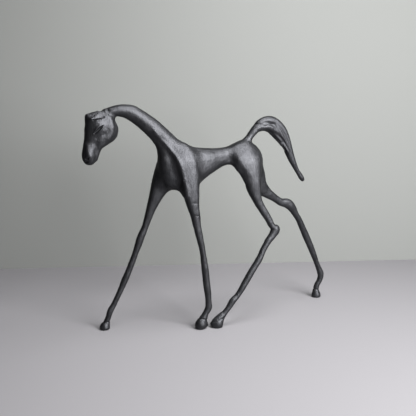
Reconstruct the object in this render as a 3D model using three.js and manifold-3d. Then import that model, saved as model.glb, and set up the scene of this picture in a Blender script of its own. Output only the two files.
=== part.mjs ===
// A slender walking horse, cast in one piece and finished satin black.
// Millimetres, +Z up. The head looks along -X, and the horse's own left side is at -Y.
// The origin is under the middle of the figure, on the surface that its hooves stand on.

import * as THREE from "three";
import { mergeVertices } from "three/addons/utils/BufferGeometryUtils.js";
import Module from "manifold-3d";

// Driving sizes
const HEIGHT = 400;           // soles to the crest of the neck
const TRACK = 64;             // across, from the right hooves to the left fore hoof
const SHANK = 11;             // thickness of a leg at the cannon bone
const HOOF_BREADTH = 19;      // across a hoof, just above the ground
const TRUNK_WIDTH = 42;       // across the ribs
const NECK_THICKNESS = 29;    // half way up the neck
const HEAD_WIDTH = 34;        // across the brow
const EAR_LENGTH = 24;
const EYE_LENGTH = 21;        // from corner to corner
const LID_THICKNESS = 3.4;
const NOSTRIL_LENGTH = 7;
const LIP_PARTING = 2.2;      // height of the slit between the lips
const TAIL_WIDTH = 31;        // across the plume at its broadest
const LOCK_DEPTH = 2.4;       // of the grooves between the locks of the tail

// The sections below are drawn for a horse of these sizes. The real ones follow the sizes above.
const DRAWN = {
  height: 400, track: 64, shank: 11, hoof: 19, trunk: 42, neck: 29, head: 34, ear: 24, tail: 31,
};
const pose = HEIGHT / DRAWN.height;
const girth = {
  leg: SHANK / DRAWN.shank,
  hoof: HOOF_BREADTH / DRAWN.hoof,
  trunk: TRUNK_WIDTH / DRAWN.trunk,
  neck: NECK_THICKNESS / DRAWN.neck,
  head: HEAD_WIDTH / DRAWN.head,
  tail: TAIL_WIDTH / DRAWN.tail,
};

// Trunk and neck, from the rump to the poll: a point on the upper outline (x, z), the point of the lower
// outline across from it (x, z), the half width between them, and which girth it follows
const SPINE = [
  [120.5, 299, 120, 286, 6, "trunk"],
  [117, 310, 115, 276, 12, "trunk"],
  [109.5, 321, 106, 270, 16, "trunk"],
  [97, 329.5, 96, 269, 18.5, "trunk"],
  [83, 336, 83, 272, 19, "trunk"],
  [68, 330, 68, 283, 16.5, "trunk"],
  [54, 324, 54, 292, 14, "trunk"],
  [40, 321.5, 40, 288.5, 14.5, "trunk"],
  [24, 321, 24, 280.5, 17, "trunk"],
  [9, 321.8, 8, 271.5, 20, "trunk"],
  [-6, 323, -8, 260, 21, "trunk"],
  [-18, 325.5, -27, 251, 21, "trunk"],
  [-28, 330, -50, 251, 20, "trunk"],
  [-37, 334.5, -70, 264, 18.5, "trunk"],
  [-45, 340, -79, 292, 17.5, "trunk"],
  [-52, 346.5, -80, 311, 16.6, "neck"],
  [-60, 354, -83, 326.5, 15.8, "neck"],
  [-70, 363, -91, 338.5, 15.2, "neck"],
  [-82, 373.2, -100, 348, 14.8, "neck"],
  [-94, 381.5, -109, 356.3, 14.4, "neck"],
  [-107, 389.8, -119, 365, 13.8, "neck"],
  [-120, 396.8, -129, 372.2, 13, "neck"],
  [-134, 399.2, -138.5, 377.2, 11.8, "neck"],
  [-148, 398.8, -148, 379.8, 10.6, "neck"],
  [-160, 396, -157, 380.2, 9.6, "neck"],
  [-172, 392, -166, 379, 8.4, "neck"],
];

// Head, from the poll down to the lips: x, z, half depth, half width
const HEAD = [
  [-179.5, 388.2, 8.5, 6],
  [-179.6, 384.8, 18.6, 9],
  [-179, 379.5, 24.2, 13],
  [-178.6, 373, 25, 15.5],
  [-177.2, 366.5, 26.6, 16.8],
  [-176.8, 360, 28.2, 17],
  [-177.2, 353.5, 27.9, 16.2],
  [-178.4, 347, 27.2, 15],
  [-181.6, 340.5, 24.8, 13.8],
  [-187.2, 334, 20, 12.4],
  [-192.8, 327.7, 15.8, 11.6],
  [-195.3, 321.3, 15, 11.4],
  [-196.5, 314.7, 13.9, 11.3],
  [-196.7, 308.2, 12, 10],
  [-197.3, 303.5, 8, 6.8],
  [-197.5, 301.2, 2.5, 2.5],
];

// Tail, from the croup to its tip: x, z, half depth, half width
const TAIL = [
  [80, 316, 16, 10],
  [86.5, 327, 10, 8.4],
  [93, 337, 6.8, 6.8],
  [100, 345.5, 6.9, 7],
  [108, 353, 8.5, 7.8],
  [117.5, 359.5, 11.4, 8.8],
  [128.5, 362, 14.2, 9.6],
  [139.5, 360, 15.8, 10],
  [150, 352.5, 16.4, 9.8],
  [159, 343, 15.6, 9.2],
  [166.5, 332.5, 13.2, 8.4],
  [172.8, 321, 10.7, 7.4],
  [178, 309.5, 8.8, 6.6],
  [183.5, 297, 7.1, 6],
  [190, 284, 5.4, 5],
  [197.5, 271.5, 4.3, 4.1],
  [206, 259.5, 4.8, 4.4],
  [211, 252.3, 3.2, 3.2],
];

// Legs, from inside the trunk down to the sole: x, z, half depth, half width, and which girth it follows.
// side is where the leg is, hip is how far out its top is, and foot is how far out its hoof is.
const LEGS = {
  rightFore: {
    side: 1, hip: 13, foot: 32,
    sections: [
      [-46, 316, 9, 3, "leg"],
      [-52, 296, 22, 11, "leg"],
      [-61.5, 275, 21.5, 12, "leg"],
      [-71.2, 255, 16.4, 11.5, "leg"],
      [-79.2, 237, 11.6, 10, "leg"],
      [-88, 214, 7.9, 7.8, "leg"],
      [-95, 193, 6.2, 6.3, "leg"],
      [-99, 181, 5.7, 5.9, "leg"],
      [-105, 168, 6.6, 6.4, "leg"],
      [-109, 157, 6.7, 6.4, "leg"],
      [-114, 143, 5.7, 5.8, "leg"],
      [-121.5, 123, 5.4, 5.5, "leg"],
      [-131, 100, 5.8, 5.7, "leg"],
      [-137, 87, 5.9, 5.7, "leg"],
      [-147, 65, 4.9, 5, "leg"],
      [-158, 44, 4.8, 4.9, "leg"],
      [-164.5, 33, 5.4, 5.3, "leg"],
      [-168.7, 21, 4.9, 4.9, "leg"],
      [-172.2, 12, 6.4, 6.2, "hoof"],
      [-175, 5, 9, 8.8, "hoof"],
      [-175.8, 0, 8.4, 8.2, "hoof"],
      [-176, -4, 6, 6, "hoof"],
    ],
  },
  leftFore: {
    side: -1, hip: 15, foot: 32,
    sections: [
      [-42, 330, 8, 3, "leg"],
      [-37, 306, 20.5, 11, "leg"],
      [-32, 282, 17.5, 12, "leg"],
      [-29.2, 258, 14.9, 11.5, "leg"],
      [-27.4, 238, 12.7, 10.6, "leg"],
      [-25.3, 222, 10, 9.4, "leg"],
      [-22, 207, 8.4, 8.2, "leg"],
      [-19.5, 190, 6.9, 7, "leg"],
      [-15.7, 171, 6.1, 6.2, "leg"],
      [-11.8, 153, 5.4, 5.6, "leg"],
      [-9.5, 139, 5.2, 5.4, "leg"],
      [-7, 121, 5.9, 5.8, "leg"],
      [-4.8, 99, 6.4, 6.2, "leg"],
      [-2.8, 80, 6.4, 6.2, "leg"],
      [-0.8, 64, 6, 5.9, "leg"],
      [0.2, 49, 5.4, 5.4, "leg"],
      [0.4, 37.5, 6.4, 6, "leg"],
      [-5.5, 27, 5.3, 5.4, "leg"],
      [-10.8, 17.5, 7.6, 7, "hoof"],
      [-14.2, 9, 10.6, 9.8, "hoof"],
      [-15.3, 2.5, 9.8, 9, "hoof"],
      [-15.5, -3, 7, 6.8, "hoof"],
    ],
  },
  leftHind: {
    side: -1, hip: 13, foot: 37.5,
    sections: [
      [80, 324, 14, 3, "leg"],
      [81.8, 300, 27.8, 11.5, "leg"],
      [86.8, 279, 23, 12, "leg"],
      [91.1, 258, 16.1, 11, "leg"],
      [94.6, 241, 11, 9.6, "leg"],
      [100, 225, 7.9, 8, "leg"],
      [106.5, 213, 6.9, 7, "leg"],
      [114, 201, 6.6, 6.7, "leg"],
      [121.4, 189.4, 6.1, 6.5, "leg"],
      [126.6, 179.2, 5.8, 6.6, "leg"],
      [130.2, 174.4, 5.8, 6.8, "leg"],
      [134.8, 169.2, 9.2, 7, "leg"],
      [128.4, 159, 7.4, 6.6, "leg"],
      [118.9, 148.5, 6.2, 6, "leg"],
      [109.2, 134, 5.6, 5.7, "leg"],
      [100, 117, 6, 6, "leg"],
      [84.8, 96, 6.2, 6.1, "leg"],
      [70.5, 75, 6, 5.9, "leg"],
      [56.5, 55, 5, 5.2, "leg"],
      [46.4, 45.6, 6.2, 5.8, "leg"],
      [39, 35.5, 5.3, 5.3, "leg"],
      [30, 25, 5.1, 5.2, "leg"],
      [21.8, 16.5, 7.4, 6.9, "hoof"],
      [16.6, 8.5, 10.3, 9.4, "hoof"],
      [15.2, 2.5, 9.5, 8.8, "hoof"],
      [14.9, -3, 6.8, 6.6, "hoof"],
    ],
  },
  rightHind: {
    side: 1, hip: 12, foot: 32,
    sections: [
      [92, 314, 12, 3, "leg"],
      [102, 291, 22, 11.5, "leg"],
      [113.5, 266, 21, 12, "leg"],
      [126, 245, 16, 10.5, "leg"],
      [143, 230.5, 10.2, 8.6, "leg"],
      [160.5, 219, 7.2, 7.3, "leg"],
      [176, 209.2, 7.3, 7, "leg"],
      [191.6, 204.8, 9.4, 7.2, "leg"],
      [202.4, 195.4, 8.2, 7.2, "leg"],
      [210.9, 183, 6.3, 6.5, "leg"],
      [220, 170, 5.9, 6.1, "leg"],
      [231.4, 149, 6.4, 6.2, "leg"],
      [243.9, 125.5, 6.8, 6.4, "leg"],
      [257.3, 99, 6.1, 6, "leg"],
      [270, 71, 5.1, 5.3, "leg"],
      [279.6, 50, 6.4, 6.1, "leg"],
      [278.4, 37, 5.6, 5.6, "leg"],
      [272, 25, 5.4, 5.4, "leg"],
      [270, 14.5, 6.5, 6.4, "hoof"],
      [270.8, 5.5, 9.4, 9, "hoof"],
      [271.2, 0, 8.6, 8.4, "hoof"],
      [271.3, -4, 6.2, 6.2, "hoof"],
    ],
  },
};

// How finely each form is faceted
const SPINE_SIDES = 24;
const HEAD_SIDES = 24;
const TAIL_SIDES = 24;
const LEG_SIDES = 12;
const SMALL_SIDES = 8;        // lids, nostrils, lips and ears
const TAIL_STEPS = 2;         // rings for each section of the tail
const ACROSS = new THREE.Vector3(0, 1, 0);
const DOWN = new THREE.Vector3(0, 0, -1);
const SOLE_DEPTH = 20;        // of the block that cuts the hooves flat, below the ground

const wasm = await Module();
wasm.setup();

// A closed geometry as a solid that can be joined and cut.
function solid(geometry) {
  const bare = geometry.index ? geometry.clone() : mergeVertices(geometry);
  bare.deleteAttribute("normal");
  bare.deleteAttribute("uv");
  const merged = mergeVertices(bare, 1e-4);
  return new wasm.Manifold(new wasm.Mesh({
    numProp: 3,
    vertProperties: new Float32Array(merged.attributes.position.array),
    triVerts: new Uint32Array(merged.index.array),
  }));
}

// A section as a centre, a half depth and a half width.
function section(x, y, z, depth, width) {
  return { centre: new THREE.Vector3(x, y, z), depth, width };
}

function smooth(points) {
  return new THREE.CatmullRomCurve3(points, false, "catmullrom", 0.5);
}

// The smooth run of a row of sections: the middle and the two half axes at any place from 0 to 1.
// The sections stand square to the run, or level where level is true.
function course(sections, level = false) {
  const path = smooth(sections.map((s) => s.centre));
  const sizes = smooth(sections.map((s) => new THREE.Vector3(s.depth, s.width, 0)));
  return (t) => {
    const along = level ? DOWN.clone() : path.getTangent(t);
    const across = ACROSS.clone().addScaledVector(along, -ACROSS.dot(along)).normalize();
    const deep = new THREE.Vector3().crossVectors(across, along);
    const size = sizes.getPoint(t);
    return { centre: path.getPoint(t), deep, across, depth: size.x, width: size.y };
  };
}

// The same for sections that stand between an upper and a lower outline.
function between(upper, lower, halfWidths) {
  const top = smooth(upper);
  const bottom = smooth(lower);
  const widths = smooth(halfWidths.map((width) => new THREE.Vector3(width, 0, 0)));
  return (t) => {
    const centre = top.getPoint(t).lerp(bottom.getPoint(t), 0.5);
    const deep = top.getPoint(t).sub(centre);
    const depth = deep.length();
    return { centre, deep: deep.normalize(), across: ACROSS, depth, width: widths.getPoint(t).x };
  };
}

// A closed solid of oval rings along such a run. carve cuts the radius back by place and angle.
function loft(at, rings, sides, carve = () => 0) {
  const positions = [];
  const faces = [];
  for (let i = 0; i <= rings; i += 1) {
    const t = i / rings;
    const ring = at(t);
    for (let k = 0; k < sides; k += 1) {
      const angle = (2 * Math.PI * k) / sides;
      const cut = carve(t, angle);
      const point = ring.centre.clone();
      point.addScaledVector(ring.deep, (ring.depth - cut) * Math.cos(angle));
      point.addScaledVector(ring.across, (ring.width - cut) * Math.sin(angle));
      positions.push(...point.toArray());
    }
  }
  for (let i = 0; i < rings; i += 1) {
    for (let k = 0; k < sides; k += 1) {
      const next = (k + 1) % sides;
      const here = i * sides;
      const beyond = here + sides;
      faces.push(here + k, here + next, beyond + k);
      faces.push(here + next, beyond + next, beyond + k);
    }
  }
  for (const [first, end, turn] of [[0, 0, false], [rings * sides, 1, true]]) {
    const pole = positions.length / 3;
    positions.push(...at(end).centre.toArray());
    for (let k = 0; k < sides; k += 1) {
      const next = (k + 1) % sides;
      faces.push(pole, first + (turn ? k : next), first + (turn ? next : k));
    }
  }
  const geometry = new THREE.BufferGeometry();
  geometry.setAttribute("position", new THREE.Float32BufferAttribute(positions, 3));
  geometry.setIndex(faces);
  return solid(geometry);
}

// Trunk and neck in one sweep, deep at the chest and drawn in at the loins. The neck's thickness
// opens or closes its lower outline about its crest.
function spine() {
  const upper = [];
  const lower = [];
  const widths = [];
  for (const [topX, topZ, lowX, lowZ, width, part] of SPINE) {
    const crest = new THREE.Vector3(topX, 0, topZ).multiplyScalar(pose);
    const throat = new THREE.Vector3(lowX, 0, lowZ).multiplyScalar(pose);
    if (part === "neck") {
      throat.sub(crest).multiplyScalar(girth.neck / pose).add(crest);
    }
    upper.push(crest);
    lower.push(throat);
    widths.push(width * girth[part]);
  }
  return loft(between(upper, lower, widths), SPINE.length - 1, SPINE_SIDES);
}

// A leg leaves the trunk at its hip and spreads to its hoof, quickly at first and then hardly at all.
function leg({ side, hip, foot, sections }) {
  const [, top] = sections[0];
  const rows = sections.map(([x, z, depth, width, part]) => {
    const out = foot - (foot - hip) * Math.max(z / top, 0) ** 2;
    const y = side * out * (TRACK / DRAWN.track);
    return section(x * pose, y, z * pose, depth * girth[part], width * girth[part]);
  });
  return loft(course(rows), rows.length - 1, LEG_SIDES);
}

// Between its stem and its tip the tail is a plume of locks, parted by grooves. A groove's start and end
// along the tail, its start and end round it (degrees from the inside of the curve), its share of the depth
const LOCKS = [
  [0.38, 0.68, 246, 270, 0.9],
  [0.25, 0.56, 244, 294, 1],
  [0.42, 0.72, 316, 284, 1.2],
  [0.3, 0.62, 328, 340, 0.7],
  [0.28, 0.76, 186, 214, 0.7],
  [0.3, 0.64, 138, 98, 1],
  [0.4, 0.76, 40, 78, 1.1],
  [0.27, 0.5, 100, 62, 0.8],
];
const LOCK_WIDTH = 15;        // half width of a groove, in degrees round the tail
function tailPlume() {
  const rows = TAIL.map(([x, z, depth, width]) => (
    section(x * pose, 0, z * pose, depth * girth.tail, width * girth.tail)
  ));
  const groove = (t, angle) => LOCKS.reduce((cut, [start, end, first, last, share]) => {
    const place = THREE.MathUtils.clamp((t - start) / (end - start), 0, 1);
    const middle = THREE.MathUtils.lerp(first, last, place);
    const aside = THREE.MathUtils.euclideanModulo((angle * 180) / Math.PI - middle + 180, 360) - 180;
    return cut + share * LOCK_DEPTH * Math.sin(Math.PI * place) * Math.exp(-((aside / LOCK_WIDTH) ** 2));
  }, 0);
  return loft(course(rows), (rows.length - 1) * TAIL_STEPS, TAIL_SIDES, groove);
}

const headSections = HEAD.map(([x, z, depth, width]) => (
  section(x * pose, 0, z * pose, depth * girth.head, width * girth.head)
));
const headAt = course(headSections, true);

// The point on the side of the head at a place given as shares of its length and of its depth there,
// from the poll to the lips and from the jaw (-1) to the brow (1).
function onHead(length, depth, side, lift = 0) {
  const ring = headAt(length);
  const out = side * (ring.width * Math.sqrt(1 - depth * depth) + lift);
  const middle = ring.centre.clone().addScaledVector(ring.deep, depth * ring.depth);
  return middle.addScaledVector(ring.across, out);
}

// A thin form through points, tapering to both ends: a lid, a nostril or a lip.
const STRIP_END = 0.35;       // thickness at the ends, as a share of the middle's
function strip(points, thickness, deepness) {
  const last = points.length - 1;
  const rows = points.map((point, i) => {
    const swell = STRIP_END + (1 - STRIP_END) * Math.sin((Math.PI * i) / last);
    return section(point.x, point.y, point.z, (swell * thickness) / 2, (swell * deepness) / 2);
  });
  return loft(course(rows), rows.length - 1, SMALL_SIDES);
}

// A row of points on the side of the head: a line of a given length about a middle, tilted forward from
// the vertical and bowed to one side.
const HEAD_LENGTH = headSections[0].centre.distanceTo(headSections.at(-1).centre);
const LINE_POINTS = 7;
function lineOnHead({ middle, tilt, bow = 0, length, side, lift = 0 }) {
  const [down, forward] = middle;
  const halfDepth = headAt(down).depth;
  return Array.from({ length: LINE_POINTS }, (_, i) => {
    const share = i / (LINE_POINTS - 1);
    const run = (share - 0.5) * length;
    const rise = bow * Math.sin(Math.PI * share);
    const lower = run * Math.cos(tilt) + rise * Math.sin(tilt);
    const front = run * Math.sin(tilt) - rise * Math.cos(tilt);
    return onHead(down + lower / HEAD_LENGTH, forward + front / halfDepth, side, lift);
  });
}

// Long almond eyes, half closed: two raised lids with a deep slit between them.
const EYE = { middle: [0.335, 0.23], tilt: 0.84 };
const LID_BOWS = [EYE_LENGTH * -0.18, EYE_LENGTH * 0.14];
const LID_SUNK = 0.125;       // of a lid's thickness, below the skin around it
const SLIT = { length: EYE_LENGTH * 0.86, thickness: EYE_LENGTH * 0.14, deepness: LID_THICKNESS * 1.5 };
function lids(side) {
  const lid = (bow) => {
    const line = lineOnHead({ ...EYE, bow, length: EYE_LENGTH, side, lift: -LID_THICKNESS * LID_SUNK });
    return strip(line, LID_THICKNESS, LID_THICKNESS);
  };
  return lid(LID_BOWS[0]).add(lid(LID_BOWS[1]));
}

function eyeSlit(side) {
  const line = lineOnHead({ ...EYE, length: SLIT.length, side });
  return strip(line, SLIT.thickness, SLIT.deepness);
}

const NOSTRIL = { middle: [0.81, 0.52], tilt: 1.05, bow: 0.8 };
function nostril(side) {
  const line = lineOnHead({ ...NOSTRIL, length: NOSTRIL_LENGTH, side });
  return strip(line, NOSTRIL_LENGTH * 0.4, NOSTRIL_LENGTH * 0.6);
}

// The lips part in a slit that runs back from the front of the muzzle on each side, a little upwards.
const MOUTH = { level: 0.9, rise: 0.035, from: 0.96, to: -0.2 };
function mouth(side) {
  const line = Array.from({ length: LINE_POINTS }, (_, i) => {
    const share = i / (LINE_POINTS - 1);
    const forward = THREE.MathUtils.lerp(MOUTH.from, MOUTH.to, share ** 1.5);
    return onHead(MOUTH.level - MOUTH.rise * share, forward, side);
  });
  return strip(line, LIP_PARTING, LIP_PARTING * 1.6);
}

// The ears are leaves laid forward along the top of the head, from a root just behind the poll. Their
// upper edges lean in over the head. Share of the length from the root, half depth, half thickness
const EAR = [
  [0, 4.4, 2.6],
  [0.2, 5.8, 2.8],
  [0.42, 5.8, 2.6],
  [0.66, 4.4, 2.2],
  [0.87, 2.4, 1.6],
  [1, 0.8, 0.8],
];
const EAR_ROOT = { behind: 4.5, out: 11, over: -3.7 };
const EAR_WAY = { forward: -20, out: 3, up: -6.4 };
const EAR_LEAN = 1.05;        // radians
function ear(side) {
  const size = EAR_LENGTH / DRAWN.ear;
  const root = headSections[0].centre.clone();
  root.add(new THREE.Vector3(EAR_ROOT.behind * pose, side * EAR_ROOT.out * girth.head, EAR_ROOT.over * pose));
  const way = new THREE.Vector3(EAR_WAY.forward, side * EAR_WAY.out, EAR_WAY.up).normalize();
  const rows = EAR.map(([share, depth, thickness]) => {
    const point = root.clone().addScaledVector(way, share * EAR_LENGTH);
    return section(point.x, point.y, point.z, depth * size, thickness * size);
  });
  const upright = course(rows);
  const leaning = (t) => {
    const ring = upright(t);
    const run = new THREE.Vector3().crossVectors(ring.deep, ring.across);
    ring.deep.applyAxisAngle(run, -side * EAR_LEAN);
    ring.across.applyAxisAngle(run, -side * EAR_LEAN);
    return ring;
  };
  return loft(leaning, rows.length - 1, SMALL_SIDES);
}

const skull = loft(headAt, headSections.length - 1, HEAD_SIDES);
const forms = [spine(), skull, tailPlume()];
for (const name of Object.keys(LEGS)) {
  forms.push(leg(LEGS[name]));
}
const cuts = [];
for (const side of [-1, 1]) {
  forms.push(ear(side), lids(side));
  cuts.push(eyeSlit(side), nostril(side), mouth(side));
}

// The hooves stand flat: what reaches under the ground is cut away.
const ground = new THREE.BoxGeometry(HEIGHT * 2, HEIGHT, SOLE_DEPTH);
ground.translate(0, 0, -SOLE_DEPTH / 2);
cuts.push(solid(ground));

const joined = forms.reduce((whole, form) => whole.add(form));
const body = cuts.reduce((rest, cut) => rest.subtract(cut), joined);

const mesh = body.getMesh();
const geometry = new THREE.BufferGeometry();
geometry.setAttribute("position", new THREE.Float32BufferAttribute(mesh.vertProperties, 3));
geometry.setIndex(new THREE.Uint32BufferAttribute(mesh.triVerts, 1));
geometry.computeVertexNormals();

const satinBlack = new THREE.MeshStandardMaterial({ color: 0x1b1c1f, roughness: 0.42, metalness: 0.6 });
const horse = new THREE.Mesh(geometry, satinBlack);
horse.name = "horse";
geometry.computeBoundingBox();
const middle = geometry.boundingBox.getCenter(new THREE.Vector3());
horse.position.set(-middle.x, -middle.y, -geometry.boundingBox.min.z);

const figure = new THREE.Group();
figure.add(horse);
export default figure;
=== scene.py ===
"""A slender walking horse, cast in one piece and finished satin black, in a plain pale studio.

The casting is drawn from the same sections as its solid, run together into one skin with soft fillets,
chased with its eyes, lips, locks and muscles, and given the slight unevenness of a hand-finished casting.
"""

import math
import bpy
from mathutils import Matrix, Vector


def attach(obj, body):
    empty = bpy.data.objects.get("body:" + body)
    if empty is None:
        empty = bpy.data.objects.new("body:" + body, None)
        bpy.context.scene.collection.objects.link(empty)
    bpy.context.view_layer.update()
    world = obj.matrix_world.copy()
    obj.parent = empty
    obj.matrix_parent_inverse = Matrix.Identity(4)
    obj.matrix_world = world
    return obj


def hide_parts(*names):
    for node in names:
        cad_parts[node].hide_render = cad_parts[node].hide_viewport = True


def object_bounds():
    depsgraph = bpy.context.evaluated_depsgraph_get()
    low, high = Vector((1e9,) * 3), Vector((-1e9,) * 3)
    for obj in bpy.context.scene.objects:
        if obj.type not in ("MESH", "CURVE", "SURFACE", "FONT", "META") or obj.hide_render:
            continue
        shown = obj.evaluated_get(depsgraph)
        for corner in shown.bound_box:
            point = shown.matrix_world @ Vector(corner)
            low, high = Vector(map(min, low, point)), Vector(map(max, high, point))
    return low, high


bl_info = {
    "name": "Cast Walking Horse",
    "version": (1, 0, 0),
    "blender": (4, 5, 0),
    "location": "View3D > Sidebar > Horse",
    "description": "Models a slender cast horse with a satin black finish, and a plain studio round it",
    "category": "Add Mesh",
}

from typing import NamedTuple

import bpy
import numpy as np
import openvdb
from bpy.props import FloatProperty, FloatVectorProperty, IntProperty, PointerProperty
from mathutils import Vector

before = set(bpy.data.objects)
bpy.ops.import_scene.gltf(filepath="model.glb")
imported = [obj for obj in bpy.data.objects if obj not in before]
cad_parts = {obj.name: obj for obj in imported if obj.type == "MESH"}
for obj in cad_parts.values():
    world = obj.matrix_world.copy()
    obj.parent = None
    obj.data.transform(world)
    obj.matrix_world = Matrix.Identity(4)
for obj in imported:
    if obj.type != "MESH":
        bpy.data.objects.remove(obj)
CAD_LOW, CAD_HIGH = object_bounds()

# The figure is drawn in millimetres, +Z up, with the head towards -X and the horse's own left at -Y.
DRAWN_HEIGHT = 399.2
UNIT = (CAD_HIGH.z - CAD_LOW.z) / DRAWN_HEIGHT    # metres on the solid to a drawn millimetre

# The sides of the horse: the sign of Y there
LEFT = -1
RIGHT = 1
BOTH = 0

# Trunk and neck, from the rump to the poll: a point on the upper outline (x, z), the point of the lower
# outline across from it (x, z), and the half width between them
SPINE = [
    (120.5, 299, 120, 286, 6),
    (117, 310, 115, 276, 12),
    (109.5, 321, 106, 270, 16),
    (97, 329.5, 96, 269, 18.5),
    (83, 336, 83, 272, 19),
    (68, 330, 68, 283, 16.5),
    (54, 324, 54, 292, 14),
    (40, 321.5, 40, 288.5, 14.5),
    (24, 321, 24, 280.5, 17),
    (9, 321.8, 8, 271.5, 20),
    (-6, 323, -8, 260, 21),
    (-18, 325.5, -27, 251, 21),
    (-28, 330, -50, 251, 20),
    (-37, 334.5, -70, 264, 18.5),
    (-45, 340, -79, 292, 17.5),
    (-52, 346.5, -80, 311, 16.6),
    (-60, 354, -83, 326.5, 15.8),
    (-70, 363, -91, 338.5, 15.2),
    (-82, 373.2, -100, 348, 14.8),
    (-94, 381.5, -109, 356.3, 14.4),
    (-107, 389.8, -119, 365, 13.8),
    (-120, 396.8, -129, 372.2, 13),
    (-134, 399.2, -138.5, 377.2, 11.8),
    (-148, 398.8, -148, 379.8, 10.6),
    (-160, 396, -157, 380.2, 9.6),
    (-172, 392, -166, 379, 8.4),
]

# Head, from the poll down to the lips: x, z, half depth, half width
HEAD = [
    (-179.5, 388.2, 8.5, 6),
    (-179.6, 384.8, 18.6, 9),
    (-179, 379.5, 24.2, 13),
    (-178.6, 373, 25, 15.5),
    (-177.2, 366.5, 26.6, 16.8),
    (-176.8, 360, 28.2, 17),
    (-177.2, 353.5, 27.9, 16.2),
    (-178.4, 347, 27.2, 15),
    (-181.6, 340.5, 24.8, 13.8),
    (-187.2, 334, 20, 12.4),
    (-192.8, 327.7, 15.8, 11.6),
    (-195.3, 321.3, 15, 11.4),
    (-196.5, 314.7, 13.9, 11.3),
    (-196.7, 308.2, 12, 10),
    (-197.3, 303.5, 8, 6.8),
    (-197.5, 301.2, 2.5, 2.5),
]

# Tail, from the croup to its tip: x, z, half depth, half width
TAIL = [
    (80, 316, 16, 10),
    (86.5, 327, 10, 8.4),
    (93, 337, 6.8, 6.8),
    (100, 345.5, 6.9, 7),
    (108, 353, 8.5, 7.8),
    (117.5, 359.5, 11.4, 8.8),
    (128.5, 362, 14.2, 9.6),
    (139.5, 360, 15.8, 10),
    (150, 352.5, 16.4, 9.8),
    (159, 343, 15.6, 9.2),
    (166.5, 332.5, 13.2, 8.4),
    (172.8, 321, 10.7, 7.4),
    (178, 309.5, 8.8, 6.6),
    (183.5, 297, 7.1, 6),
    (190, 284, 5.4, 5),
    (197.5, 271.5, 4.3, 4.1),
    (206, 259.5, 4.8, 4.4),
    (211, 252.3, 3.2, 3.2),
]

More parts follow.
